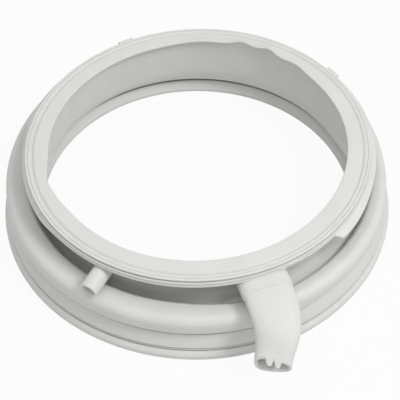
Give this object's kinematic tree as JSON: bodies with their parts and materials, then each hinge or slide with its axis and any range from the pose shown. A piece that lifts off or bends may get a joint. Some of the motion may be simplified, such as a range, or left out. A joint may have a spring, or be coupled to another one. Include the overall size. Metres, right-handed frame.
{
  "type": "washing machine door seal",
  "caption": "Moulded rubber bellows ring with a door lip, a folded wall, a base bead with a clamp groove, a drain spout and an inlet nozzle.",
  "frame": {"origin": "below the middle of the part's box, on the plane that the base bead lies on", "axes": "+Z from the base bead up to the door lip along the seal's axis, -Y towards the drain spout, +X to the right"},
  "size_m": [0.3848, 0.4166, 0.0874],
  "materials": {
    "seal_rubber": "soft satin, light warm grey"
  },
  "bodies": {
    "root": {"door_seal": "seal_rubber"}
  },
  "joints": []
}
